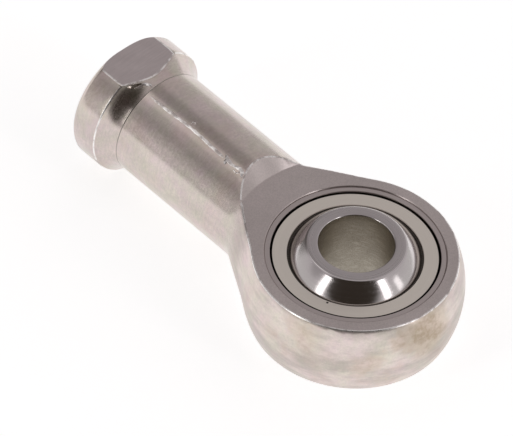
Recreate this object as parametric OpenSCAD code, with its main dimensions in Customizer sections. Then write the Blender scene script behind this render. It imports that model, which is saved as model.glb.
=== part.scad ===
// Rod end bearing with a female thread. A ball swivels in a lined race, and the race
// is pressed into the eye of a turned one-piece housing. Millimetres.
// Origin at the centre of the ball, +Z along its bore, +X along the shank.

/* [Ball] */
// Diameter of the bore that takes the pin
bore_d = 8; // [6:0.5:9]
// Diameter of the ball
ball_d = 15.875; // [15.75:0.125:16.25]
// Width of the ball across its flat faces
ball_w = 12; // [11:0.25:12.5]
// Edge break at the mouths of the bore
bore_break = 0.12; // [0.05:0.01:0.3]
// Edge break around the flat faces
face_break = 0.08; // [0.05:0.01:0.2]

/* [Race and liner] */
// Outer diameter of the race
race_d = 19; // [18.5:0.25:20]
// Width of the race
race_w = 8.4; // [7.8:0.1:8.8]
// Diameter of the staking groove in each face of the race
stake_d = 17.56; // [17.2:0.05:17.8]
// Width of the staking groove
stake_w = 0.2; // [0.1:0.05:0.4]
// Depth of the staking groove
stake_depth = 0.4; // [0.2:0.1:0.8]
// Thickness of the sliding liner
liner_t = 0.23; // [0.15:0.01:0.3]
// Width of the liner
liner_w = 8; // [7:0.1:8.2]
// Running clearance on each side of the liner
liner_clearance = 0.02; // [0.01:0.01:0.04]

/* [Eye] */
// Diameter of the spherical blank that the eye is milled from
eye_d = 23.4; // [23:0.2:26]
// Width of the eye across its milled faces
eye_w = 9; // [8.8:0.1:9.6]
// Edge break at the mouths of the race seat
seat_break = 0.08; // [0.05:0.01:0.2]
// Distance from the ball's centre at which the milled faces end at the shank
mill_reach = 13.65; // [13.2:0.05:14.5]
// Distance from the ball's centre at which the tapered neck meets the shank
neck_reach = 12.95; // [12.6:0.05:13.5]
// Angle around the eye at which the neck's taper leaves the spherical blank
neck_angle = 62; // [61:0.5:66]

/* [Shank] */
// Diameter of the shank
shank_d = 12.2; // [11.5:0.1:13]
// Distance from the ball's centre to the end of the shank
shank_reach = 36; // [34:0.5:42]
// Diameter of the hole that is tapped
tap_d = 6.8; // [6.6:0.1:7]
// Depth of the tapped hole, without its drill point
tap_depth = 19; // [14:0.5:20]
// Included angle of the drill point at the bottom of the tapped hole
drill_angle = 118; // [90:1:140]
// Diameter of the countersink at the mouth of the tapped hole
mouth_d = 8.4; // [8:0.1:9]

/* [Collar] */
// Diameter of the collar that carries the wrench flats
collar_d = 15; // [14.5:0.1:16]
// Distance across the two wrench flats
wrench_w = 13; // [12.6:0.1:14]
// Length of the collar's full diameter
collar_l = 3; // [2.5:0.1:4]
// Length of the chamfer at the open end
end_chamfer_l = 0.9; // [0.5:0.1:1.2]
// Diameter of the end face, which seats the lock nut
end_face_d = 13.1; // [12.4:0.1:13.8]
// Length of the concave turned cove between collar and shank
cove_l = 2; // [1.6:0.1:2.4]
// Radius of that cove
cove_r = 3.54; // [2.5:0.01:5]

/* [Hidden] */
$fn = 128;
over = 1;                                    // how far a cutter runs past what it cuts
ball_r = ball_d / 2;
liner_in_r = ball_r + liner_clearance;
liner_out_r = liner_in_r + liner_t;
race_in_r = liner_out_r + liner_clearance;   // spherical seat of the liner in the race
eye_r = eye_d / 2;
shank_r = shank_d / 2;
collar_r = collar_d / 2;
collar_x1 = shank_reach - end_chamfer_l;     // full collar diameter, open end
collar_x0 = collar_x1 - collar_l;            // full collar diameter, shank end
cove_x = collar_x0 - cove_l;                 // where the cove runs into the shank

// Centre of the cove's arc through its two ends, on the outer side of their chord
cove_rise = collar_r - shank_r;
cove_chord = norm([cove_l, cove_rise]);
cove_lift = sqrt(cove_r * cove_r - cove_chord * cove_chord / 4);
cove_c = [(cove_x + collar_x0) / 2 - cove_lift * cove_rise / cove_chord,
          (shank_r + collar_r) / 2 + cove_lift * cove_l / cove_chord];

// Half of a sheet of metal w wide and r out from the axis, to be turned about it
module half_strip(r, w) {
    translate([0, -w / 2]) square([r, w]);
}

// Triangle that breaks a hole's edge at radius r and height h: end is 1 at the top, -1 at the bottom
module edge_cut(r, h, size, end) {
    polygon([
        [r - over, end * (h - size - over)],
        [r + size + over, end * (h + over)],
        [r - over, end * (h + over)]
    ]);
}

// Shape that breaks the edge between the ball's flat face and its sphere, halfway between the two
module face_edge_cut(r, h, size, end) {
    slope = 20;
    polygon([
        [r - size, end * h],
        [r - size, end * (h + over)],
        [r + over, end * (h + over)],
        [r + over, end * (h - (size + over) * tan(slope))]
    ]);
}

// The ball: a truncated sphere with a bore
module inner_ring() {
    face_r = sqrt(ball_r * ball_r - ball_w * ball_w / 4);
    color([0.60, 0.58, 0.58])
    rotate_extrude()
        difference() {
            intersection() {
                circle(ball_r);
                half_strip(ball_r + over, ball_w);
            }
            half_strip(bore_d / 2, ball_w + 2 * over);
            for (end = [-1, 1]) {
                edge_cut(bore_d / 2, ball_w / 2, bore_break, end);
                face_edge_cut(face_r, ball_w / 2, face_break, end);
            }
        }
}

// Thin spherical band of bearing liner
module liner() {
    color([0.23, 0.21, 0.19])
    rotate_extrude()
        intersection() {
            difference() {
                circle(liner_out_r);
                circle(liner_in_r);
            }
            half_strip(liner_out_r + over, liner_w);
        }
}

// Race: a ring with a spherical seat and a staking groove in each face
module outer_race() {
    color([0.66, 0.65, 0.62])
    rotate_extrude()
        difference() {
            half_strip(race_d / 2, race_w);
            circle(race_in_r);
            for (end = [-1, 1])
                polygon([
                    [stake_d / 2 - stake_w / 2, end * race_w / 2],
                    [stake_d / 2 - stake_w / 2, end * (race_w / 2 + over)],
                    [stake_d / 2 + stake_w / 2, end * (race_w / 2 + over)],
                    [stake_d / 2 + stake_w / 2, end * race_w / 2],
                    [stake_d / 2, end * (race_w / 2 - stake_depth)]
                ]);
        }
}

// Outline of the turned blank: radius across, distance along the shank up
module blank_outline() {
    neck_r = eye_r - 0.1;
    difference() {
        union() {
            intersection() {
                circle(eye_r);
                half_strip(eye_r + over, 2 * eye_r + 2 * over);
            }
            polygon([
                [0, 0],
                [neck_r * sin(neck_angle), neck_r * cos(neck_angle)],
                [shank_r, neck_reach],
                [shank_r, cove_x],
                [collar_r, collar_x0],
                [collar_r, collar_x1],
                [end_face_d / 2, shank_reach],
                [0, shank_reach]
            ]);
        }
        translate([cove_c[1], cove_c[0]]) circle(cove_r);
    }
}

// Cutter that mills one face of the eye: its wall rises at 45 degrees into the shank
module face_mill() {
    depth = eye_r - eye_w / 2 + over;
    translate([0, 0, eye_w / 2])
        cylinder(r1 = mill_reach, r2 = mill_reach + depth, h = depth);
}

// Bored seat of the race, open at both faces
module race_seat() {
    rotate_extrude()
        union() {
            half_strip(race_d / 2, eye_w + 2 * over);
            for (end = [-1, 1]) edge_cut(race_d / 2, eye_w / 2, seat_break, end);
        }
}

// Tapped hole with its countersink and drill point, along +X from the bottom
module tapped_hole() {
    tap_r = tap_d / 2;
    point_l = tap_r / tan(drill_angle / 2);
    sink_l = mouth_d / 2 - tap_r;
    translate([shank_reach, 0, 0])
        rotate([0, -90, 0]) {
            translate([0, 0, -over]) cylinder(r = tap_r, h = tap_depth + over);
            translate([0, 0, tap_depth]) cylinder(r1 = tap_r, r2 = 0, h = point_l);
            translate([0, 0, -over])
                cylinder(r1 = mouth_d / 2 + over, r2 = tap_r, h = sink_l + over);
        }
}

// One-piece housing: eye, neck, shank and collar
module housing() {
    flat_cut = collar_d;
    color([0.62, 0.59, 0.57])
    difference() {
        rotate([0, 90, 0]) rotate_extrude() blank_outline();
        face_mill();
        mirror([0, 0, 1]) face_mill();
        race_seat();
        tapped_hole();
        for (side = [-1, 1])
            translate([cove_x, -flat_cut / 2, side * (wrench_w / 2 + flat_cut / 2) - flat_cut / 2])
                cube([shank_reach - cove_x + over, flat_cut, flat_cut]);
    }
}

housing();
outer_race();
liner();
inner_ring();
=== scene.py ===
import math
import random

import bmesh
import bpy
from mathutils import Matrix, Vector


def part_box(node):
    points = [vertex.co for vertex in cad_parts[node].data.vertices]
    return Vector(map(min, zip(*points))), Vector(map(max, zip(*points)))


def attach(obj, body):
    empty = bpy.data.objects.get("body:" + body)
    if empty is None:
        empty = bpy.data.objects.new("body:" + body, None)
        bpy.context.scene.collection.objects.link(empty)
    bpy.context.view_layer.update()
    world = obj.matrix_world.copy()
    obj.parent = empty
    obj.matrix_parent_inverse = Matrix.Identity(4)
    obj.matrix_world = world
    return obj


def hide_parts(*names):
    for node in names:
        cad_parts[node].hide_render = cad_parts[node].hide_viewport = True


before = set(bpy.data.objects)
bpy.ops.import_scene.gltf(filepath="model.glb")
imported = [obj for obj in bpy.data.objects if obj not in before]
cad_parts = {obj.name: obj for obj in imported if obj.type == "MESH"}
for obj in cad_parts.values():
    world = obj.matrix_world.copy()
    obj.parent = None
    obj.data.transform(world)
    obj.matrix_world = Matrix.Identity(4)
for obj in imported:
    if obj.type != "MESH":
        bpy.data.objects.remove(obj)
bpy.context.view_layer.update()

# A rod end bearing: a polished ball swivels in a lined race, pressed into the eye of a turned
# and milled housing. Lengths are in metres; MM turns millimetres into them.
MM = 0.001
TURN = 2 * math.pi

# Driving sizes, from the frame
housing_low, housing_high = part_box("housing")
race_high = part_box("outer_race")[1]
liner_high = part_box("liner")[1]
ball_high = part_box("inner_ring")[1]
EYE_R = housing_high.y
SHANK_END = housing_high.x
WRENCH_HALF = housing_high.z
RACE_R = race_high.x
RACE_HALF = race_high.z
LINER_HALF = liner_high.z
BALL_R = ball_high.x
BALL_HALF = ball_high.z

# Sizes of the housing that its box doesn't give
EYE_HALF = 4.5 * MM
MILL_REACH = 13.65 * MM
MILL_CORNER = 0.15 * MM
NECK_REACH = 12.95 * MM
NECK_ANGLE = math.radians(62)
NECK_FILLET = 3.0 * MM
NECK_SINK = 0.1 * MM
SHANK_R = 6.1 * MM
COLLAR_R = 7.5 * MM
COLLAR_L = 3.0 * MM
END_CHAMFER_L = 0.9 * MM
END_FACE_R = 6.55 * MM
COVE_L = 2.0 * MM
COVE_R = 3.54 * MM
SEAT_BREAK = 0.08 * MM
EYE_EDGE = 0.13 * MM
FINE_EDGE = 0.10 * MM
TOOL_LINE = 0.06 * MM
COLLAR_X1 = SHANK_END - END_CHAMFER_L
COLLAR_X0 = COLLAR_X1 - COLLAR_L
COVE_X = COLLAR_X0 - COVE_L

# The tapped hole
TAP_R = 3.4 * MM
TAP_DEPTH = 19.0 * MM
DRILL_HALF_ANGLE = math.radians(59)
TAP_POINT_L = TAP_R / math.tan(DRILL_HALF_ANGLE)
MOUTH_R = 4.2 * MM
THREAD_R = 4.0 * MM
THREAD_PITCH = 1.25 * MM
THREAD_TURNS = 13

# The race, the liner and the ball
STAKE_R = 8.78 * MM
STAKE_HALF = 0.1 * MM
STAKE_DEPTH = 0.4 * MM
LINER_T = 0.23 * MM
CLEARANCE = 0.02 * MM
BORE_R = 4.0 * MM
BORE_BREAK = 0.12 * MM
FACE_BREAK = 0.08 * MM
LINER_IN_R = BALL_R + CLEARANCE
LINER_OUT_R = LINER_IN_R + LINER_T
RACE_IN_R = LINER_OUT_R + CLEARANCE

# Smoothness of turned shapes, and how close two places count as one
LATHE_STEPS = 160
FINE_STEPS = 192
HOLE_STEPS = 96
MERGE_GAP = 0.002 * MM
NEAR = 0.02 * MM

# How far a cutter runs past what it cuts
PAST = 1.0 * MM

# Beads of torn metal: corners around, and millimetres between their places
BEAD_SIDES = 8
BEAD_SPACING = 0.3

# Order of the housing's finishes, and of the ball's after its polished sphere
TURNED, MILLED, WRENCH_FLAT, TAPPED, RUBBED = range(5)
GROUND, BORE = 1, 2


# ---------------------------------------------------------------- camera, light and floor

def place_camera():
    """A long lens that looks down on the eye, past its near side to the collar."""
    aim = Vector((13.18, 1.477, 0)) * MM
    azimuth = math.radians(224.02)
    elevation = math.radians(47.22)
    roll = math.radians(4.195)
    distance = 660.85 * MM
    back = Vector((math.sin(azimuth) * math.cos(elevation),
                   -math.cos(azimuth) * math.cos(elevation),
                   math.sin(elevation)))
    lens = bpy.data.cameras.new("long_lens")
    lens.lens = 442.04
    lens.sensor_width = 36
    camera = bpy.data.objects.new("camera", lens)
    turn = (-back).to_track_quat("-Z", "Y").to_matrix().to_4x4()
    camera.matrix_world = (Matrix.Translation(aim + back * distance) @ turn
                           @ Matrix.Rotation(roll, 4, "Z"))
    bpy.context.scene.collection.objects.link(camera)
    bpy.context.scene.camera = camera


def toward(azimuth, elevation):
    """Unit vector to a place in the studio, azimuth from +X and elevation from level, degrees."""
    a, e = math.radians(azimuth), math.radians(elevation)
    return Vector((math.cos(a) * math.cos(e), math.sin(a) * math.cos(e), math.sin(e)))


def soft_box(name, azimuth, elevation, width, height, radiance, colour):
    """A plain rectangular light that faces the part."""
    distance = 0.7
    light = bpy.data.lights.new(name, "AREA")
    light.shape = "RECTANGLE"
    light.size = width
    light.size_y = height
    light.color = colour
    light.energy = radiance * math.pi * width * height
    lamp = bpy.data.objects.new(name, light)
    place = toward(azimuth, elevation) * distance
    turn = place.to_track_quat("Z", "Y").to_matrix().to_4x4()
    lamp.matrix_world = Matrix.Translation(place) @ turn
    bpy.context.scene.collection.objects.link(lamp)


def link(tree, source, socket):
    """Feed a socket from another socket, or set it to a plain value."""
    if isinstance(source, bpy.types.NodeSocket):
        tree.links.new(source, socket)
    else:
        socket.default_value = source


def maths(tree, operation, *values):
    """Result of an operation on numbers."""
    node = tree.nodes.new("ShaderNodeMath")
    node.operation = operation
    for value, socket in zip(values, node.inputs):
        link(tree, value, socket)
    return node.outputs["Value"]


def plus(tree, first, second):
    return maths(tree, "ADD", first, second)


def times(tree, first, second):
    return maths(tree, "MULTIPLY", first, second)


def vector_maths(tree, operation, *values):
    """Result of an operation on vectors: a number where the operation gives one."""
    node = tree.nodes.new("ShaderNodeVectorMath")
    node.operation = operation
    for value, socket in zip(values, node.inputs):
        link(tree, value, socket)
    scalar = operation in ("LENGTH", "DOT_PRODUCT", "DISTANCE")
    return node.outputs["Value" if scalar else "Vector"]


def scaled(tree, vector, factor):
    node = tree.nodes.new("ShaderNodeVectorMath")
    node.operation = "SCALE"
    link(tree, vector, node.inputs["Vector"])
    link(tree, factor, node.inputs["Scale"])
    return node.outputs["Vector"]


def split(tree, vector):
    """X, Y and Z of a vector."""
    node = tree.nodes.new("ShaderNodeSeparateXYZ")
    link(tree, vector, node.inputs[0])
    return node.outputs


def ramp(tree, value, low, high, to_low=0.0, to_high=1.0):
    """Smooth step of a value from low to high."""
    node = tree.nodes.new("ShaderNodeMapRange")
    node.interpolation_type = "SMOOTHSTEP"
    for name, amount in (("Value", value), ("From Min", low), ("From Max", high),
                         ("To Min", to_low), ("To Max", to_high)):
        link(tree, amount, node.inputs[name])
    return node.outputs["Result"]


def blended(tree, factor, first, second, mode="MIX"):
    """Mix of two colours."""
    node = tree.nodes.new("ShaderNodeMix")
    node.data_type = "RGBA"
    node.blend_type = mode
    link(tree, factor, node.inputs["Factor"])
    link(tree, first, node.inputs["A"])
    link(tree, second, node.inputs["B"])
    return node.outputs[2]


def rgb(red, green, blue):
    return (red, green, blue, 1.0)


def light_studio():
    """Pale room, darker behind the camera and overhead, with two light boxes beside the camera."""
    world = bpy.data.worlds.new("studio")
    bpy.context.scene.world = world
    world.use_nodes = True
    tree = world.node_tree
    tree.nodes.clear()
    direction = tree.nodes.new("ShaderNodeTexCoord").outputs["Generated"]
    level = maths(tree, "ABSOLUTE", split(tree, direction)["Z"])
    above = ramp(tree, level, 0.05, 0.5)
    room = blended(tree, above, rgb(0.60, 0.59, 0.58), rgb(0.52, 0.495, 0.50))
    # a bright strip overhead between darker patches, which the shank mirrors as long bands, as
    # azimuth, elevation and half width in degrees, then depth and colour
    for azimuth, elevation, spread, depth, colour in (
            (-12, 17, 23, 0.92, rgb(0.08, 0.07, 0.065)),
            (-26, 58, 12, 0.50, rgb(0.10, 0.09, 0.09)),
            (54, 36, 12, 0.38, rgb(0.10, 0.09, 0.09)),
            (14, 61, 8, 0.7, rgb(1.15, 1.1, 1.1))):
        facing = vector_maths(tree, "DOT_PRODUCT", direction, toward(azimuth, elevation))
        edge = math.cos(math.radians(spread * 1.6))
        patch = ramp(tree, facing, edge, math.cos(math.radians(spread * 0.4)), 0, depth)
        room = blended(tree, patch, room, colour)
    # the dark area behind the camera
    facing = vector_maths(tree, "DOT_PRODUCT", direction, toward(134, 36))
    shade = ramp(tree, facing, math.cos(math.radians(49)), math.cos(math.radians(33)))
    room = blended(tree, shade, room, rgb(0.035, 0.028, 0.022))
    glow = tree.nodes.new("ShaderNodeBackground")
    link(tree, room, glow.inputs["Color"])
    backdrop = tree.nodes.new("ShaderNodeBackground")
    backdrop.inputs["Color"].default_value = rgb(1.0, 1.0, 1.0)
    seen = tree.nodes.new("ShaderNodeLightPath")
    switch = tree.nodes.new("ShaderNodeMixShader")
    link(tree, seen.outputs["Is Camera Ray"], switch.inputs["Fac"])
    link(tree, glow.outputs[0], switch.inputs[1])
    link(tree, backdrop.outputs[0], switch.inputs[2])
    output = tree.nodes.new("ShaderNodeOutputWorld")
    link(tree, switch.outputs[0], output.inputs["Surface"])
    soft_box("box_left", 81, 26, 0.13, 0.40, 2.4, (1.0, 0.99, 0.98))
    soft_box("box_right", 190, 26, 0.13, 0.40, 2.4, (1.0, 0.98, 1.0))
    soft_box("box_side", 214, 16, 0.12, 0.22, 0.9, (1.0, 0.99, 0.99))
    bpy.context.scene.view_settings.view_transform = "Standard"


def new_material(name):
    """Empty material, with its tree and shader."""
    material = bpy.data.materials.new(name)
    material.use_nodes = True
    tree = material.node_tree
    return material, tree, tree.nodes["Principled BSDF"]


def lay_floor():
    """Pale glowing table under the part, so that shadows stay faint."""
    deselect_all()
    bpy.ops.mesh.primitive_plane_add(size=6, location=(0, 0, -WRENCH_HALF - 0.02 * MM))
    floor = bpy.context.object
    floor.name = "floor"
    material, _, shader = new_material("pale_table")
    shader.inputs["Base Color"].default_value = rgb(0.62, 0.62, 0.62)
    shader.inputs["Roughness"].default_value = 0.9
    shader.inputs["Specular IOR Level"].default_value = 0.1
    shader.inputs["Emission Color"].default_value = rgb(1.0, 1.0, 1.0)
    shader.inputs["Emission Strength"].default_value = 0.745
    floor.data.materials.append(material)


# ---------------------------------------------------------------- shop tools

def deselect_all():
    bpy.ops.object.select_all(action="DESELECT")


def take(piece):
    """Make one piece the only selected one, and the active one."""
    deselect_all()
    piece.select_set(True)
    bpy.context.view_layer.objects.active = piece


def edit(piece):
    """Open a piece in edit mode with nothing selected, and return its live mesh."""
    take(piece)
    bpy.ops.object.mode_set(mode="EDIT")
    bpy.ops.mesh.select_mode(type="VERT")
    bpy.ops.mesh.select_all(action="DESELECT")
    return bmesh.from_edit_mesh(piece.data)


def leave_edit():
    bpy.ops.object.mode_set(mode="OBJECT")


def draw_outline(name, points):
    """A closed line through points, drawn one point after another by extrusion."""
    deselect_all()
    bpy.ops.mesh.primitive_plane_add(size=MM, location=(0, 0, 0))
    piece = bpy.context.object
    piece.name = name
    bpy.ops.object.mode_set(mode="EDIT")
    bpy.ops.mesh.select_mode(type="VERT")
    bpy.ops.mesh.select_all(action="SELECT")
    bpy.ops.mesh.merge(type="CENTER")
    bpy.ops.transform.translate(value=points[0])
    for start, end in zip(points, points[1:]):
        bpy.ops.mesh.extrude_vertices_move(TRANSFORM_OT_translate={"value": end - start})
    mesh = bmesh.from_edit_mesh(piece.data)
    for vertex in mesh.verts:
        vertex.select = len(vertex.link_edges) == 1
    mesh.select_flush(True)
    bpy.ops.mesh.edge_face_add()
    return piece


def merge_and_turn_out(gap=MERGE_GAP):
    """Merge corners closer than gap and turn every face outward."""
    bpy.ops.mesh.select_all(action="SELECT")
    bpy.ops.mesh.remove_doubles(threshold=gap)
    bpy.ops.mesh.normals_make_consistent(inside=False)


def lathe(name, outline, axis, steps):
    """Turn an outline of (distance along the axis, radius) points about the X or the Z axis."""
    if axis == "X":
        points = [Vector((along, radius, 0)) for along, radius in outline]
        pole = (1, 0, 0)
    else:
        points = [Vector((radius, 0, along)) for along, radius in outline]
        pole = (0, 0, 1)
    piece = draw_outline(name, points)
    bpy.ops.mesh.select_all(action="SELECT")
    bpy.ops.mesh.spin(steps=steps, angle=TURN, center=(0, 0, 0), axis=pole)
    bpy.ops.mesh.select_all(action="SELECT")
    bpy.ops.mesh.remove_doubles(threshold=MERGE_GAP)
    drop_inner_faces(piece)
    merge_and_turn_out()
    leave_edit()
    return piece


def cutter(name, outline, axis, steps):
    """A turned tool whose flat ends are one face each, so that it leaves whole flat cuts."""
    tool = lathe(name, outline, axis, steps)
    edit(tool)
    bpy.ops.mesh.select_all(action="SELECT")
    bpy.ops.mesh.dissolve_limited(angle_limit=math.radians(0.2))
    leave_edit()
    return tool


def drop_inner_faces(piece):
    """Turning a closed outline that touches its axis leaves edges there with no face."""
    mesh = bmesh.from_edit_mesh(piece.data)
    bpy.ops.mesh.select_all(action="DESELECT")
    for edge in mesh.edges:
        if not edge.link_faces:
            edge.select = True
    bpy.ops.mesh.delete(type="EDGE")


def arc(centre, radius, start, end, steps):
    """Points of a round stretch of an outline; centre is (along, radius), angles in radians."""
    points = []
    for i in range(steps + 1):
        a = start + (end - start) * i / steps
        points.append((centre[0] + radius * math.cos(a), centre[1] + radius * math.sin(a)))
    return points


def apply_modifier(piece, modifier):
    take(piece)
    bpy.ops.object.modifier_apply(modifier=modifier.name)


def combine(piece, tool, operation="DIFFERENCE"):
    """Cut a tool's shape out of a piece, or weld it on."""
    modifier = piece.modifiers.new("shape", "BOOLEAN")
    modifier.operation = operation
    modifier.solver = "EXACT"
    modifier.object = tool
    apply_modifier(piece, modifier)
    bpy.data.objects.remove(tool)


def tidy_edges(piece, gap):
    edit(piece)
    merge_and_turn_out(gap)
    leave_edit()


def break_edges(piece, width, slot, chosen):
    """Small rounded break, painted from its own slot, on the sharp outer edges that are chosen."""
    mesh = edit(piece)
    bpy.ops.mesh.select_mode(type="EDGE")
    sharp = math.radians(24)
    for edge in mesh.edges:
        middle = (edge.verts[0].co + edge.verts[1].co) / 2
        if edge.is_manifold and edge.calc_face_angle_signed() > sharp and chosen(middle):
            edge.select = True
    bpy.ops.mesh.bevel(offset_type="OFFSET", offset=width, segments=2, affect="EDGES",
                       clamp_overlap=False, loop_slide=False)
    piece.active_material_index = slot
    bpy.ops.object.material_slot_assign()
    leave_edit()


def keep_inside(piece, low, high):
    """Bring any corner that a broken edge pushed past the stock back onto it."""
    for vertex in piece.data.vertices:
        for axis in range(3):
            vertex.co[axis] = min(max(vertex.co[axis], low[axis]), high[axis])


def smooth(piece, angle):
    """Smooth shading that keeps flats flat and crisp edges crisp."""
    take(piece)
    bpy.ops.object.shade_smooth_by_angle(angle=math.radians(angle))
    modifier = piece.modifiers.new("flat_faces_stay_flat", "WEIGHTED_NORMAL")
    modifier.mode = "FACE_AREA"
    modifier.keep_sharp = True
    apply_modifier(piece, modifier)


def paint(piece, *materials):
    piece.data.materials.clear()
    for material in materials:
        piece.data.materials.append(material)


# ---------------------------------------------------------------- housing

def neck_leaves_sphere():
    """Where the straight line of the tapered neck comes out of the spherical blank."""
    inner = Vector((math.cos(NECK_ANGLE), math.sin(NECK_ANGLE))) * (EYE_R - NECK_SINK)
    line = Vector((NECK_REACH, SHANK_R)) - inner
    line.normalize()
    middle = inner.dot(line)
    length = -middle + math.sqrt(middle ** 2 + EYE_R ** 2 - inner.length_squared)
    return inner + line * length


def neck_fillet(start):
    """Concave arc where the tapered neck runs into the straight shank."""
    slope = math.atan2(start.y - SHANK_R, NECK_REACH - start.x)
    tangent = NECK_FILLET * math.tan(slope / 2)
    centre = (NECK_REACH + tangent, SHANK_R + NECK_FILLET)
    return arc(centre, NECK_FILLET, -math.pi / 2 - slope, -math.pi / 2, 6)


def cove_arc():
    """Concave turned cove from the shank up to the collar."""
    rise = COLLAR_R - SHANK_R
    chord = math.hypot(COVE_L, rise)
    lift = math.sqrt(COVE_R ** 2 - chord ** 2 / 4)
    centre = ((COVE_X + COLLAR_X0) / 2 - lift * rise / chord,
              (SHANK_R + COLLAR_R) / 2 + lift * COVE_L / chord)
    start = math.atan2(SHANK_R - centre[1], COVE_X - centre[0])
    end = math.atan2(COLLAR_R - centre[1], COLLAR_X0 - centre[0])
    return arc(centre, COVE_R, start, end, 14)


def end_chamfer():
    """Slightly crowned chamfer from the collar's skin to its end face."""
    start = Vector((COLLAR_X1, COLLAR_R))
    end = Vector((SHANK_END, END_FACE_R))
    slope = math.atan2(start.y - end.y, end.x - start.x)
    crown = math.radians(50)
    radius = (end - start).length / 2 / math.sin(crown / 2)
    middle = (start + end) / 2
    inward = Vector((-math.sin(slope), -math.cos(slope)))
    centre = middle + inward * radius * math.cos(crown / 2)
    facing = math.pi / 2 - slope
    return arc(centre, radius, facing + crown / 2, facing - crown / 2, 8)


def straight(start, end, steps):
    """Evenly spaced points after start, up to and including end."""
    return [tuple(Vector(start).lerp(Vector(end), i / steps)) for i in range(1, steps + 1)]


def turned_blank():
    """The blank as it leaves the lathe: ball end, tapered neck, shank, cove and collar."""
    neck = neck_leaves_sphere()
    round_end = math.atan2(neck.y, neck.x) + math.radians(3)
    outline = arc((0, 0), EYE_R, math.pi, round_end, 56)
    fillet = neck_fillet(neck)
    neck_start = tuple(neck.lerp(Vector(fillet[0]), 0.12))
    outline.append(neck_start)
    outline += straight(neck_start, fillet[0], 8)
    outline += fillet[1:]
    outline += straight(fillet[-1], (COVE_X - 2 * TOOL_LINE, SHANK_R), 24)
    outline += [(COVE_X - TOOL_LINE, SHANK_R - TOOL_LINE)] + cove_arc()
    outline += straight((COLLAR_X0, COLLAR_R), (COLLAR_X1, COLLAR_R), 4)
    outline += end_chamfer()[1:] + [(SHANK_END, 0)]
    blank = lathe("housing_shell", outline, "X", LATHE_STEPS)
    mesh = edit(blank)
    bpy.ops.mesh.select_mode(type="FACE")
    for face in mesh.faces:
        face.select = face.calc_center_median().x > SHANK_END - MERGE_GAP
    bpy.ops.mesh.dissolve_faces()
    leave_edit()
    return blank


def face_mill(side):
    """Cutter for one face of the eye, with a small corner radius and a 45 degree flank."""
    depth = EYE_R - EYE_HALF + PAST
    lift = MILL_CORNER * math.tan(math.radians(22.5))
    corner = arc((EYE_HALF + MILL_CORNER, MILL_REACH - lift), MILL_CORNER,
                 math.pi, math.radians(135), 4)
    outline = [(EYE_HALF, 0)] + corner + [(EYE_HALF + depth, MILL_REACH + depth),
                                          (EYE_HALF + depth, 0)]
    outline = [(side * along, radius) for along, radius in outline]
    return cutter("face_mill", outline, "Z", FINE_STEPS)


def wrench_mill(side):
    """Cutter for one wrench flat on the collar."""
    length = SHANK_END - COVE_X + 2 * PAST
    start = COVE_X - 0.5 * MM
    deselect_all()
    bpy.ops.mesh.primitive_cube_add(
        size=1, location=(start + length / 2, 0, side * (WRENCH_HALF + COLLAR_R / 2)))
    mill = bpy.context.object
    bpy.ops.transform.resize(value=(length, 3 * COLLAR_R, COLLAR_R))
    return mill


def race_seat():
    """Boring tool for the race's seat, with the edge breaks at both mouths."""
    outline = []
    for side in (-1, 1):
        mouth = [(side * (EYE_HALF + PAST), 0),
                 (side * (EYE_HALF + PAST), RACE_R + SEAT_BREAK + PAST),
                 (side * (EYE_HALF - SEAT_BREAK), RACE_R)]
        outline += mouth if side < 0 else mouth[::-1]
    return cutter("race_seat", outline, "Z", FINE_STEPS)


def tap_drill():
    """Drill for the tapped hole, with its point and the countersink at the mouth."""
    sink = MOUTH_R - TAP_R
    bottom = SHANK_END - TAP_DEPTH
    outline = [(bottom - TAP_POINT_L, 0), (bottom, TAP_R), (SHANK_END - sink, TAP_R),
               (SHANK_END + PAST, MOUTH_R + PAST), (SHANK_END + PAST, 0)]
    return cutter("tap_drill", outline, "X", HOLE_STEPS)


def tap():
    """Tap: a V section swept along the thread's helix."""
    half = 0.56 * MM
    crest = 0.06 * MM
    root = TAP_R - crest
    start = SHANK_END + 0.6 * MM
    section = [Vector((start - half, root, 0)), Vector((start - crest, THREAD_R, 0)),
               Vector((start + crest, THREAD_R, 0)), Vector((start + half, root, 0))]
    piece = draw_outline("tap", section)
    leave_edit()
    modifier = piece.modifiers.new("helix", "SCREW")
    modifier.axis = "X"
    modifier.angle = TURN * THREAD_TURNS
    modifier.screw_offset = -THREAD_PITCH * THREAD_TURNS
    modifier.steps = 48 * THREAD_TURNS
    modifier.render_steps = 48 * THREAD_TURNS
    apply_modifier(piece, modifier)
    mesh = edit(piece)
    ends = [edge for edge in mesh.edges if len(edge.link_faces) == 1]
    for near_start in (True, False):
        bpy.ops.mesh.select_all(action="DESELECT")
        for edge in ends:
            if (edge.verts[0].co.x > SHANK_END - 2 * THREAD_PITCH) == near_start:
                edge.select_set(True)
        bpy.ops.mesh.edge_face_add()
    merge_and_turn_out()
    leave_edit()
    return piece


def skin_radius(along):
    """Radius of the turned skin at a place along the shank, cove included."""
    if along < COVE_X:
        return SHANK_R
    points = cove_arc()
    for (x0, r0), (x1, r1) in zip(points, points[1:]):
        if along <= x1:
            return r0 + (r1 - r0) * (along - x0) / (x1 - x0)
    return COLLAR_R


def on_skin(along, angle, sunk=0.0):
    """Place on the turned skin: millimetres along the shank, degrees round it from +Y to +Z."""
    a = math.radians(angle)
    radius = skin_radius(along * MM) - sunk
    return Vector((along * MM, radius * math.cos(a), radius * math.sin(a)))


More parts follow.
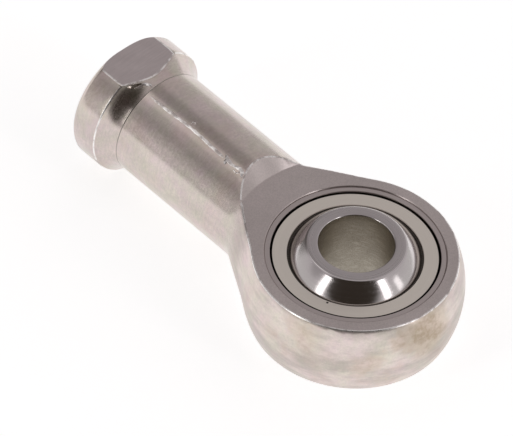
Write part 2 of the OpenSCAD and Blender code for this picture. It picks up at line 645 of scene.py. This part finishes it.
def bead(name, places, radii):
    """A thin rough bead of metal through places, as thick as radii say."""
    deselect_all()
    bpy.ops.mesh.primitive_circle_add(vertices=BEAD_SIDES, radius=radii[0], fill_type="NGON",
                                      location=(0, 0, 0))
    piece = bpy.context.object
    piece.name = name
    bpy.ops.object.mode_set(mode="EDIT")
    mesh = bmesh.from_edit_mesh(piece.data)
    upright = Vector((0, 0, 1))
    for i, place in enumerate(places):
        ahead = places[min(i + 1, len(places) - 1)] - places[max(i - 1, 0)]
        frame_turn = upright.rotation_difference(ahead).to_matrix()
        if i:
            bpy.ops.mesh.extrude_region_move(TRANSFORM_OT_translate={"value": (0, 0, 0)})
        ring = [vertex for vertex in mesh.verts if vertex.select]
        for k, vertex in enumerate(ring):
            a = TURN * k / BEAD_SIDES
            spoke = Vector((math.cos(a), math.sin(a), 0)) * radii[i]
            vertex.co = place + frame_turn @ spoke
    merge_and_turn_out(MERGE_GAP / 4)
    leave_edit()
    return piece


def rough_path(stops, wander, draw):
    """Places and thicknesses along stops of (along, angle, radius), with a random wander."""
    path = []
    for (x0, a0, r0), (x1, a1, r1) in zip(stops, stops[1:]):
        length = math.hypot(x1 - x0, math.radians(a1 - a0) * SHANK_R / MM)
        count = max(2, round(length / BEAD_SPACING))
        path += [(x0 + (x1 - x0) * i / count, a0 + (a1 - a0) * i / count,
                  r0 + (r1 - r0) * i / count) for i in range(count)]
    path.append(stops[-1])
    places = []
    radii = []
    for along, angle, radius in path:
        thick = radius * draw.uniform(0.85, 1.15)
        places.append(on_skin(along + draw.uniform(-wander, wander),
                              angle + 8 * draw.uniform(-wander, wander), 0.45 * thick * MM))
        radii.append(thick * MM)
    return places, radii


def shop_marks(housing):
    """Parting seam, torn burrs and a nick that the tools left, as (mm along, degrees, mm thick)."""
    draw = random.Random(5)
    seam = ((29.4, 70.6, 0.05), (28.6, 70.9, 0.16), (26.0, 71.6, 0.22), (23.4, 72.4, 0.18),
            (21.0, 71.4, 0.20), (18.6, 70.4, 0.20), (18.0, 70.1, 0.05))
    torn_edge = ((18.05, 74.6, 0.08), (17.8, 72.6, 0.22), (17.3, 70.4, 0.30), (16.8, 70.0, 0.20),
                 (16.2, 70.4, 0.20), (15.7, 71.9, 0.26), (15.35, 71.0, 0.20), (15.3, 69.0, 0.10))
    crater = ((15.5, 69.2, 0.08), (15.4, 67.4, 0.10), (15.7, 65.8, 0.09), (16.1, 66.6, 0.08))
    torn_spur = ((17.5, 70.0, 0.28), (17.5, 67.6, 0.24), (17.3, 65.6, 0.10))
    nick = ((23.6, 75.6, 0.05), (23.75, 77.6, 0.10), (23.45, 79.2, 0.08), (23.2, 77.8, 0.04))
    collar_burr = ((31.25, 66.0, 0.07), (31.05, 70.0, 0.14), (30.95, 74.5, 0.20),
                   (30.75, 78.0, 0.22), (30.45, 80.0, 0.18), (30.2, 78.5, 0.10))
    torn_tail = ((15.5, 72.0, 0.20), (15.2, 70.6, 0.30), (15.0, 68.4, 0.26), (14.8, 66.0, 0.12))
    for stops in (seam, torn_edge, crater, torn_spur, torn_tail, nick, collar_burr):
        places, radii = rough_path(stops, 0.03, draw)
        combine(housing, bead("bead", places, radii), "UNION")
    hollow = ((31.75, 62.0, 0.08), (31.5, 65.5, 0.17), (31.3, 70.0, 0.15), (31.12, 74.0, 0.10))
    places, radii = rough_path(hollow, 0.02, draw)
    combine(housing, bead("hollow", places, radii))


def sort_housing_faces(housing):
    """Turned skin, milled faces, wrench flats and tapped hole each get their own finish; raised
    beads take the bright rubbed finish, partly a painted highlight, and the tool line takes the
    hole's darker finish as painted shade.
    """
    for face in housing.data.polygons:
        if face.material_index != TURNED:
            continue
        centre, normal = face.center, face.normal
        off_axis = math.hypot(centre.y, centre.z)
        from_ball = math.hypot(centre.x, centre.y)
        on_eye_face = abs(abs(centre.z) - EYE_HALF) < NEAR and abs(normal.z) > 0.9
        in_mill = centre.x < MILL_REACH + EYE_R and abs(centre.z) > EYE_HALF - NEAR
        flank = in_mill and abs(from_ball - MILL_REACH - (abs(centre.z) - EYE_HALF)) < 4 * NEAR
        if off_axis < MOUTH_R + NEAR and RACE_R + MM < centre.x < SHANK_END - NEAR:
            face.material_index = TAPPED
        elif abs(abs(centre.z) - WRENCH_HALF) < NEAR and abs(normal.z) > 0.9:
            face.material_index = WRENCH_FLAT
        elif on_eye_face or flank or from_ball < RACE_R + SEAT_BREAK + NEAR:
            face.material_index = MILLED
        elif centre.x > MILL_REACH and off_axis > skin_radius(centre.x) + NEAR:
            face.material_index = RUBBED
        # the tool line at the cove takes the darker hole finish: painted shade in its groove
        elif COVE_X - 2 * TOOL_LINE < centre.x < COVE_X and off_axis < SHANK_R - NEAR / 2:
            face.material_index = TAPPED


def on_eye_outline(place):
    return abs(abs(place.z) - EYE_HALF) < MERGE_GAP and math.hypot(place.x, place.y) > RACE_R + MM


def true_up(housing, on_line, reach):
    """Merge a sharp line's crowded corners and close the slivers beside it, for an even break."""
    mesh = edit(housing)
    for vertex in mesh.verts:
        vertex.select = on_line(vertex.co)
    bpy.ops.mesh.remove_doubles(threshold=0.15 * MM)
    mesh = bmesh.from_edit_mesh(housing.data)
    slivers = {}
    for edge in mesh.edges:
        first, second = edge.verts
        if edge.calc_length() < reach and on_line(first.co) != on_line(second.co):
            inner, outer = (second, first) if on_line(first.co) else (first, second)
            known = slivers.get(inner)
            if known is None or (outer.co - inner.co).length < (known.co - inner.co).length:
                slivers[inner] = outer
    bmesh.ops.weld_verts(mesh, targetmap=slivers)
    bmesh.update_edit_mesh(housing.data)
    leave_edit()


def round_up_outline(housing):
    """The outline's part on the round end is a true circle."""
    round_part = neck_leaves_sphere().x - MERGE_GAP
    outline_r = math.sqrt(EYE_R ** 2 - EYE_HALF ** 2)
    for vertex in housing.data.vertices:
        if on_eye_outline(vertex.co) and vertex.co.x < round_part:
            stretch = outline_r / math.hypot(vertex.co.x, vertex.co.y)
            vertex.co.x *= stretch
            vertex.co.y *= stretch


def on_pocket_crest(place):
    rise = abs(place.z) - EYE_HALF
    flank = MILL_REACH + rise
    return rise > MILL_CORNER and abs(math.hypot(place.x, place.y) - flank) < 0.03 * MM


def on_collar_edge(place):
    off_axis = math.hypot(place.y, place.z)
    on_flat = abs(abs(place.z) - WRENCH_HALF) < MERGE_GAP and place.x < COLLAR_X1 - MERGE_GAP
    on_ring = abs(place.x - COLLAR_X0) < MERGE_GAP
    return place.x > COVE_X and off_axis > END_FACE_R - MM and (on_flat or on_ring)


def make_housing(finishes):
    housing = turned_blank()
    for side in (1, -1):
        combine(housing, face_mill(side))
        combine(housing, wrench_mill(side))
    tidy_edges(housing, NEAR)
    combine(housing, race_seat())
    combine(housing, tap_drill())
    combine(housing, tap())
    shop_marks(housing)
    true_up(housing, on_eye_outline, 0.3 * MM)
    round_up_outline(housing)
    true_up(housing, on_pocket_crest, 0.12 * MM)
    true_up(housing, on_collar_edge, 0.12 * MM)
    paint(housing, *finishes)
    # the broken edges take the bright rubbed finish, which is partly a painted highlight
    break_edges(housing, EYE_EDGE, RUBBED,
                lambda place: on_eye_outline(place) and place.x < NECK_REACH)
    break_edges(housing, FINE_EDGE, RUBBED, on_pocket_crest)
    break_edges(housing, FINE_EDGE, RUBBED, on_collar_edge)
    keep_inside(housing, housing_low, housing_high)
    sort_housing_faces(housing)
    smooth(housing, 28)
    return housing


# ---------------------------------------------------------------- race, liner and ball

def make_race(finish):
    """Ring with a spherical seat, a staking groove in each face and a lip staked up beside it."""
    inner_break = 0.10 * MM
    lip_rise = 0.17 * MM
    lip_break = 0.07 * MM
    seat_end = math.asin((RACE_HALF - inner_break) / RACE_IN_R)
    seat = [(along, radius) for radius, along in arc((0, 0), RACE_IN_R, -seat_end, seat_end, 40)]
    mouth = math.sqrt(RACE_IN_R ** 2 - RACE_HALF ** 2)
    top = [(RACE_HALF, mouth + inner_break),
           (RACE_HALF, STAKE_R - STAKE_HALF - 0.02 * MM),
           (RACE_HALF - 0.03 * MM, STAKE_R - STAKE_HALF),
           (RACE_HALF - STAKE_DEPTH, STAKE_R),
           (RACE_HALF + lip_rise - 0.02 * MM, STAKE_R + STAKE_HALF + 0.04 * MM),
           (RACE_HALF + lip_rise, STAKE_R + STAKE_HALF + 0.07 * MM),
           (RACE_HALF + lip_rise, RACE_R - lip_break),
           (RACE_HALF + lip_rise - lip_break, RACE_R)]
    bottom = [(-along, radius) for along, radius in reversed(top)]
    race = lathe("race_ring", seat + top + bottom, "Z", FINE_STEPS)
    paint(race, finish)
    smooth(race, 28)
    return race


def make_liner(finish):
    """Thin spherical band of sliding liner, with softly rounded edges."""
    inner_end = math.asin(LINER_HALF / LINER_IN_R)
    outer_end = math.asin(LINER_HALF / LINER_OUT_R) - 0.004
    inner = arc((0, 0), LINER_IN_R, inner_end - 0.006, -inner_end + 0.006, 40)
    outer = arc((0, 0), LINER_OUT_R, -outer_end, outer_end, 40)
    outline = [(along, radius) for radius, along in inner + outer]
    liner = lathe("liner_band", outline, "Z", FINE_STEPS)
    paint(liner, finish)
    smooth(liner, 40)
    return liner


def make_ball(polished, ground, bore):
    """Truncated ball with a through bore and rounded edge breaks."""
    face_r = math.sqrt(BALL_R ** 2 - BALL_HALF ** 2)
    edge = math.asin((BALL_HALF - 0.6 * FACE_BREAK) / BALL_R)
    sphere = arc((0, 0), BALL_R, -edge, edge, 64)
    outline = [(along, radius) for radius, along in sphere]
    top = [(BALL_HALF - 0.15 * FACE_BREAK, face_r - 0.45 * FACE_BREAK),
           (BALL_HALF, face_r - FACE_BREAK)]
    top += straight(top[-1], (BALL_HALF, BORE_R + BORE_BREAK), 4)
    top += arc((BALL_HALF - BORE_BREAK, BORE_R + BORE_BREAK), BORE_BREAK, 0, -math.pi / 2, 4)[1:]
    bore_end = top[-1]
    bottom = [(-along, radius) for along, radius in reversed(top)]
    outline += top + straight(bore_end, bottom[0], 12)[:-1] + bottom
    ball = lathe("swivel_ball", outline, "Z", FINE_STEPS)
    paint(ball, polished, ground, bore)
    for face in ball.data.polygons:
        off_axis = math.hypot(face.center.x, face.center.y)
        if abs(face.center.z) > BALL_HALF - 0.01 * MM:
            face.material_index = GROUND
        elif off_axis < BORE_R + 0.01 * MM:
            face.material_index = BORE
    smooth(ball, 25)
    return ball


# ---------------------------------------------------------------- finishes

def new_group(name, inputs, outputs):
    """Empty shader node group with named inputs and outputs."""
    group = bpy.data.node_groups.new(name, "ShaderNodeTree")
    for label, kind in inputs:
        group.interface.new_socket(label, in_out="INPUT", socket_type=kind)
    for label, kind in outputs:
        group.interface.new_socket(label, in_out="OUTPUT", socket_type=kind)
    inside = group.nodes.new("NodeGroupInput")
    outside = group.nodes.new("NodeGroupOutput")
    return group, inside, outside


def noise(tree, vector, scale, detail, roughness, w=None):
    node = tree.nodes.new("ShaderNodeTexNoise")
    if w is not None:
        node.noise_dimensions = "4D"
        link(tree, w, node.inputs["W"])
    link(tree, vector, node.inputs["Vector"])
    link(tree, scale, node.inputs["Scale"])
    node.inputs["Detail"].default_value = detail
    node.inputs["Roughness"].default_value = roughness
    return node.outputs["Fac"]


def spread(tree, cloud, to_low, to_high):
    """The usual range of a noise, spread over another range."""
    return ramp(tree, cloud, 0.3, 0.7, to_low, to_high)


def stretched_noise(tree, place, stretch, detail, roughness):
    """Noise drawn out along the axes where stretch is small."""
    return noise(tree, vector_maths(tree, "MULTIPLY", place, stretch), 1.0, detail, roughness)


def joined(tree, x, y, z):
    node = tree.nodes.new("ShaderNodeCombineXYZ")
    for value, socket in zip((x, y, z), node.inputs):
        link(tree, value, socket)
    return node.outputs[0]


def shaded(tree, colour, shade):
    """A colour made darker or lighter by a grey factor."""
    return blended(tree, 1.0, colour, joined(tree, shade, shade, shade), "MULTIPLY")


def group_turning_marks():
    """Fine rings that a lathe tool leaves about the X axis. Place is in millimetres."""
    group, inside, outside = new_group(
        "turning_marks",
        (("Place", "NodeSocketVector"), ("Rings per mm", "NodeSocketFloat"),
         ("Break up", "NodeSocketFloat")),
        (("Rings", "NodeSocketFloat"),))
    x, y, z = split(group, inside.outputs["Place"])
    squares = plus(group, times(group, y, y), times(group, z, z))
    radius = maths(group, "MAXIMUM", maths(group, "SQRT", squares), 0.001)
    rings = inside.outputs["Rings per mm"]
    around = inside.outputs["Break up"]
    across = times(group, maths(group, "DIVIDE", y, radius), around)
    slow = times(group, maths(group, "DIVIDE", z, radius), around)
    place = joined(group, times(group, x, rings), times(group, radius, rings), across)
    link(group, noise(group, place, 1.0, 3.0, 0.6, w=slow), outside.inputs["Rings"])
    return group


def group_mottle():
    """Cloudy blotches with a hard or soft edge."""
    group, inside, outside = new_group(
        "mottle",
        (("Place", "NodeSocketVector"), ("Blotches per mm", "NodeSocketFloat"),
         ("Softness", "NodeSocketFloat")),
        (("Blotches", "NodeSocketFloat"),))
    cloud = noise(group, inside.outputs["Place"], inside.outputs["Blotches per mm"], 5.0, 0.6)
    low = maths(group, "SUBTRACT", 0.5, inside.outputs["Softness"])
    high = plus(group, 0.5, inside.outputs["Softness"])
    link(group, ramp(group, cloud, low, high), outside.inputs["Blotches"])
    return group


def group_heat_tint():
    """Straw and brown oxide colours laid over a metal's colour."""
    group, inside, outside = new_group(
        "heat_tint",
        (("Metal", "NodeSocketColor"), ("Place", "NodeSocketVector"),
         ("Amount", "NodeSocketFloat")),
        (("Colour", "NodeSocketColor"),))
    place = inside.outputs["Place"]
    wide = noise(group, place, 0.22, 4.0, 0.65)
    fine = noise(group, vector_maths(group, "ADD", place, (31.0, 7.0, 3.0)), 0.7, 5.0, 0.7)
    amount = inside.outputs["Amount"]
    wide = plus(group, wide, times(group, amount, 0.24))
    straw = times(group, ramp(group, wide, 0.48, 0.66), amount)
    patches = times(group, ramp(group, wide, 0.56, 0.72), ramp(group, fine, 0.38, 0.66))
    brown = times(group, patches, amount)
    colour = blended(group, straw, inside.outputs["Metal"], rgb(0.60, 0.50, 0.38))
    colour = blended(group, brown, colour, rgb(0.33, 0.24, 0.15))
    link(group, colour, outside.inputs["Colour"])
    return group


def group_scratches():
    """Sparse short scuffs in scattered directions."""
    group, inside, outside = new_group(
        "scratches", (("Place", "NodeSocketVector"), ("Amount", "NodeSocketFloat")),
        (("Scuffs", "NodeSocketFloat"),))
    total = 0.0
    for turn, shift in ((0.35, 0.0), (1.2, 17.0), (2.4, 43.0)):
        spin = group.nodes.new("ShaderNodeVectorRotate")
        spin.rotation_type = "Z_AXIS"
        spin.inputs["Angle"].default_value = turn
        link(group, inside.outputs["Place"], spin.inputs["Vector"])
        stretched = vector_maths(group, "MULTIPLY", spin.outputs[0], (9.0, 0.5, 3.0))
        lines = noise(group, vector_maths(group, "ADD", stretched, (shift, shift, shift)),
                      1.0, 1.0, 0.5)
        total = plus(group, ramp(group, lines, 0.70, 0.78), total)
    link(group, times(group, total, inside.outputs["Amount"]), outside.inputs["Scuffs"])
    return group


def place_in_mm(tree, about_z=False):
    """Object coordinates in millimetres; about_z puts Z first, where the lathe group looks."""
    coordinates = tree.nodes.new("ShaderNodeTexCoord").outputs["Object"]
    place = scaled(tree, coordinates, 1 / MM)
    if not about_z:
        return place
    x, y, z = split(tree, place)
    return joined(tree, z, x, y)


def use(tree, group, output, **inputs):
    """Place a node group with its own values and return one of its outputs."""
    node = tree.nodes.new("ShaderNodeGroup")
    node.node_tree = group
    for label, value in inputs.items():
        link(tree, value, node.inputs[label.replace("_", " ")])
    return node.outputs[output]


def lathe_rings(tree, groups, place, per_mm, break_up=0.0):
    """Turning marks about the first axis of place."""
    return use(tree, groups["turning_marks"], "Rings", Place=place, Rings_per_mm=per_mm,
               Break_up=break_up)


def pickled_clouds(tree, groups, place, per_mm):
    """Soft cloudy blotches, as pickling leaves them."""
    return use(tree, groups["mottle"], "Blotches", Place=place, Blotches_per_mm=per_mm,
               Softness=0.3)


def metal(name, anisotropy=0.0):
    """Metal material, with its tree and shader."""
    material, tree, shader = new_material(name)
    shader.inputs["Metallic"].default_value = 1.0
    shader.inputs["Anisotropic"].default_value = anisotropy
    return material, tree, shader


def dress(tree, shader, colour, roughness, tangent=None):
    """Feed a shader's colour and roughness, and the direction of its grain where it has one."""
    link(tree, colour, shader.inputs["Base Color"])
    link(tree, roughness, shader.inputs["Roughness"])
    if tangent is not None:
        link(tree, tangent, shader.inputs["Tangent"])


def bump(tree, shader, height, distance):
    node = tree.nodes.new("ShaderNodeBump")
    node.inputs["Strength"].default_value = 1.0
    node.inputs["Distance"].default_value = distance
    link(tree, height, node.inputs["Height"])
    link(tree, node.outputs["Normal"], shader.inputs["Normal"])


def turned_steel(groups):
    """Satin turned skin of the blank: rings about X, cloudy pickling, heat tints, and whitish
    smears, stronger on the eye, that are partly a painted highlight.
    """
    material, tree, shader = metal("turned_steel", 0.75)
    place = place_in_mm(tree)
    on_eye = ramp(tree, split(tree, place)["X"], 9.0, 14.0, 1.0, 0.0)
    rings = lathe_rings(tree, groups, place, 6.0, 6.0)
    rings = blended(tree, on_eye, joined(tree, rings, rings, rings), rgb(0.5, 0.5, 0.5))
    smears = stretched_noise(tree, place, (0.14, 0.14, 0.42), 4.0, 0.55)
    strokes = stretched_noise(tree, place, (0.5, 0.5, 2.6), 3.0, 0.5)
    clouds = pickled_clouds(tree, groups, place, 0.45)
    speckle = noise(tree, place, 3.5, 4.0, 0.7)
    steel = blended(tree, clouds, rgb(0.600, 0.565, 0.485), rgb(0.660, 0.550, 0.555))
    depth = ramp(tree, on_eye, 0.0, 1.0, 0.35, 1.0)
    # the smears lighten the colour by up to 18 percent on the eye: partly real smears, partly a
    # painted highlight
    cloudy = times(tree, ramp(tree, smears, 0.36, 0.64, -0.14, 0.18), depth)
    stroke = times(tree, spread(tree, strokes, -0.05, 0.05), on_eye)
    shade = plus(tree, plus(tree, cloudy, 1.0), stroke)
    shade = times(tree, shade, spread(tree, speckle, 0.93, 1.05))
    shade = times(tree, shade, spread(tree, rings, 0.95, 1.04))
    steel = shaded(tree, steel, shade)
    # tints everywhere, and stronger spots on the eye, as azimuth, elevation, reach in mm, strength
    amount = 0.16
    for azimuth, elevation, reach, strength in (
            (178, 11, 5.0, 0.6), (165, 12, 4.4, 0.5), (153, 3, 4.4, 0.42), (144, -9, 5.5, 0.4),
            (107, 17, 5.0, 0.34), (96, 5, 5.0, 0.3), (200, -20, 9.0, 0.34)):
        spot = vector_maths(tree, "DISTANCE", place, toward(azimuth, elevation) * EYE_R / MM)
        tint = ramp(tree, spot, 0.25 * reach, reach, strength, 0.0)
        amount = maths(tree, "MAXIMUM", tint, amount)
    steel = use(tree, groups["heat_tint"], "Colour", Metal=steel, Place=place, Amount=amount)
    rough = plus(tree, spread(tree, speckle, 0.21, 0.27), times(tree, on_eye, 0.08))
    dress(tree, shader, steel, rough, joined(tree, 1.0, 0.0, 0.0))
    height = plus(tree, rings, times(tree, speckle, 0.3))
    height = plus(tree, height, times(tree, smears, 2.0))
    bump(tree, shader, height, 0.003 * MM)
    return material


def rubbed_steel():
    """Bright metal on the broken corners, the seam and the torn burrs: partly bare rubbed metal,
    partly a painted highlight brighter than steel can be.
    """
    material, tree, shader = metal("rubbed_steel")
    wear = noise(tree, place_in_mm(tree), 0.7, 4.0, 0.65)
    bare = ramp(tree, wear, 0.37, 0.52)
    # patches up to near white: worn bare metal and a painted highlight on the edges
    steel = blended(tree, bare, rgb(0.55, 0.50, 0.48), rgb(0.95, 0.92, 0.90))
    dress(tree, shader, steel, spread(tree, wear, 0.38, 0.24))
    return material


def radial_tangent(tree):
    """Direction away from the Z axis, across marks that run round it."""
    coordinates = tree.nodes.new("ShaderNodeTexCoord").outputs["Object"]
    flat = vector_maths(tree, "MULTIPLY", coordinates, (1.0, 1.0, 0.0))
    return vector_maths(tree, "NORMALIZE", flat)


def milled_steel(groups):
    """Fine satin face with faint round tool marks about the ball's axis."""
    material, tree, shader = metal("milled_steel", 0.8)
    place = place_in_mm(tree, about_z=True)
    rings = lathe_rings(tree, groups, place, 5.0)
    grain = noise(tree, place, 7.0, 4.0, 0.7)
    clouds = pickled_clouds(tree, groups, place, 0.5)
    steel = blended(tree, clouds, rgb(0.61, 0.55, 0.53), rgb(0.66, 0.59, 0.575))
    shade = spread(tree, grain, 0.88, 1.08)
    steel = shaded(tree, steel, shade)
    rough = spread(tree, grain, 0.30, 0.40)
    dress(tree, shader, steel, rough, radial_tangent(tree))
    height = plus(tree, rings, times(tree, grain, 0.6))
    bump(tree, shader, height, 0.002 * MM)
    return material


def wrench_flat_steel(groups):
    """Wrench flats: straight fine milling marks across the collar."""
    material, tree, shader = metal("wrench_flat_steel", 0.4)
    place = place_in_mm(tree)
    lines = stretched_noise(tree, place, (9.0, 0.5, 1.0), 3.0, 0.6)
    clouds = pickled_clouds(tree, groups, place, 0.6)
    steel = blended(tree, clouds, rgb(0.62, 0.55, 0.545), rgb(0.67, 0.60, 0.595))
    shade = spread(tree, lines, 0.93, 1.05)
    steel = shaded(tree, steel, shade)
    rough = spread(tree, lines, 0.30, 0.40)
    dress(tree, shader, steel, rough, joined(tree, 1.0, 0.0, 0.0))
    bump(tree, shader, lines, 0.003 * MM)
    return material


def tapped_steel(groups):
    """Cut surface inside the tapped hole, also used in the tool line at the cove; its darker colour
    is painted shade.
    """
    material, tree, shader = metal("tapped_steel")
    place = place_in_mm(tree)
    rings = lathe_rings(tree, groups, place, 9.0)
    # dark colours: painted shade inside the hole and in the tool line
    steel = blended(tree, rings, rgb(0.36, 0.33, 0.30), rgb(0.52, 0.48, 0.44))
    dress(tree, shader, steel, ramp(tree, rings, 0.2, 0.8, 0.38, 0.52))
    bump(tree, shader, rings, 0.004 * MM)
    return material


def race_steel(groups):
    """Light satin ring with turned rings; the staked lip outside the groove is darker as painted
    shade of the step, and the staking groove and one spot on the face are painted near black.
    """
    material, tree, shader = metal("race_steel", 0.5)
    place = place_in_mm(tree, about_z=True)
    rings = lathe_rings(tree, groups, place, 9.0)
    grain = noise(tree, place, 12.0, 3.0, 0.7)
    steel = blended(tree, rings, rgb(0.79, 0.735, 0.66), rgb(0.92, 0.865, 0.785))
    off_axis = vector_maths(tree, "LENGTH", vector_maths(tree, "MULTIPLY", place, (0.0, 1.0, 1.0)))
    # the lip outside the groove is darkened: painted shade of the step beside it
    lip = ramp(tree, off_axis, STAKE_R / MM, STAKE_R / MM + 0.1)
    steel = blended(tree, lip, steel, rgb(0.55, 0.49, 0.475))
    off_groove = maths(tree, "ABSOLUTE", maths(tree, "SUBTRACT", off_axis, STAKE_R / MM))
    height = maths(tree, "ABSOLUTE", split(tree, place)["X"])
    # near black in the staking groove, a painted shade, and on one dark spot on the face
    sunk = ramp(tree, height, RACE_HALF / MM + 0.02, RACE_HALF / MM + 0.08, 1.0, 0.0)
    grime = times(tree, sunk, ramp(tree, off_groove, 0.11, 0.16, 1.0, 0.0))
    pit_place = (RACE_HALF / MM, -2.91, 6.76)
    pit = vector_maths(tree, "DISTANCE", place, pit_place)
    grime = maths(tree, "MAXIMUM", grime, ramp(tree, pit, 0.08, 0.16, 1.0, 0.0))
    steel = blended(tree, grime, steel, rgb(0.07, 0.06, 0.053))
    rough = spread(tree, grain, 0.28, 0.38)
    dress(tree, shader, steel, rough, radial_tangent(tree))
    bump(tree, shader, plus(tree, rings, times(tree, grain, 0.5)), 0.002 * MM)
    return material


def liner_fabric():
    """Dark woven liner: threads cross at right angles around the band."""
    material, tree, shader = new_material("liner_fabric")
    place = place_in_mm(tree)
    threads_around = 180.0
    threads_across = 24.0
    x, y, z = split(tree, place)
    angle = maths(tree, "ARCTAN2", y, x)
    warp = maths(tree, "SINE", times(tree, angle, threads_around))
    weft = maths(tree, "SINE", times(tree, z, threads_across))
    weave = times(tree, warp, weft)
    fibre = noise(tree, place, 20.0, 3.0, 0.6)
    raised = ramp(tree, weave, -1, 1)
    colour = blended(tree, raised, rgb(0.035, 0.030, 0.026), rgb(0.11, 0.095, 0.08))
    link(tree, blended(tree, times(tree, fibre, 0.4), colour, rgb(0.15, 0.13, 0.11)),
         shader.inputs["Base Color"])
    shader.inputs["Roughness"].default_value = 0.75
    shader.inputs["Specular IOR Level"].default_value = 0.3
    bump(tree, shader, plus(tree, weave, fibre), 0.01 * MM)
    return material


def polished_steel(groups):
    """Mirror-polished ball with the faintest hairlines."""
    material, tree, shader = metal("polished_ball_steel")
    place = place_in_mm(tree, about_z=True)
    rings = lathe_rings(tree, groups, place, 6.0)
    scuffs = use(tree, groups["scratches"], "Scuffs", Place=place, Amount=0.1)
    steel = blended(tree, rings, rgb(0.66, 0.62, 0.62), rgb(0.71, 0.67, 0.67))
    rough = plus(tree, spread(tree, rings, 0.13, 0.18), scuffs)
    dress(tree, shader, steel, rough)
    bump(tree, shader, rings, 0.0004 * MM)
    return material


def ground_steel(groups):
    """Ground ring faces of the ball: even satin with fine round marks."""
    material, tree, shader = metal("ground_face_steel", 0.4)
    place = place_in_mm(tree, about_z=True)
    rings = lathe_rings(tree, groups, place, 8.0)
    scuffs = use(tree, groups["scratches"], "Scuffs", Place=place_in_mm(tree), Amount=0.12)
    steel = blended(tree, rings, rgb(0.48, 0.445, 0.445), rgb(0.55, 0.51, 0.51))
    rough = plus(tree, spread(tree, rings, 0.26, 0.34), scuffs)
    dress(tree, shader, steel, rough, radial_tangent(tree))
    bump(tree, shader, rings, 0.0015 * MM)
    return material


def bore_steel():
    """Bore: duller, slightly olive, with fine specks and rubbed streaks around it."""
    material, tree, shader = metal("bore_steel")
    place = place_in_mm(tree)
    specks = noise(tree, place, 9.0, 4.0, 0.7)
    streaks = stretched_noise(tree, place, (0.9, 0.9, 4.5), 3.0, 0.6)
    light = spread(tree, specks, 0.0, 1.0)
    steel = blended(tree, light, rgb(0.32, 0.285, 0.235), rgb(0.48, 0.435, 0.37))
    steel = blended(tree, ramp(tree, streaks, 0.5, 0.75, 0, 0.4), steel, rgb(0.62, 0.57, 0.50))
    dress(tree, shader, steel, spread(tree, streaks, 0.46, 0.34))
    bump(tree, shader, specks, 0.012 * MM)
    return material


def fit(piece, body, node):
    """The piece stands for a node of the frame and moves with its body."""
    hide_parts(node)
    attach(piece, body)


place_camera()
light_studio()
lay_floor()
GROUPS = {
    "turning_marks": group_turning_marks(),
    "mottle": group_mottle(),
    "heat_tint": group_heat_tint(),
    "scratches": group_scratches(),
}
housing_finishes = (turned_steel(GROUPS), milled_steel(GROUPS), wrench_flat_steel(GROUPS),
                    tapped_steel(GROUPS), rubbed_steel())
fit(make_housing(housing_finishes), "housing", "housing")
fit(make_race(race_steel(GROUPS)), "housing", "outer_race")
fit(make_liner(liner_fabric()), "liner", "liner")
fit(make_ball(polished_steel(GROUPS), ground_steel(GROUPS), bore_steel()),
    "ball", "inner_ring")
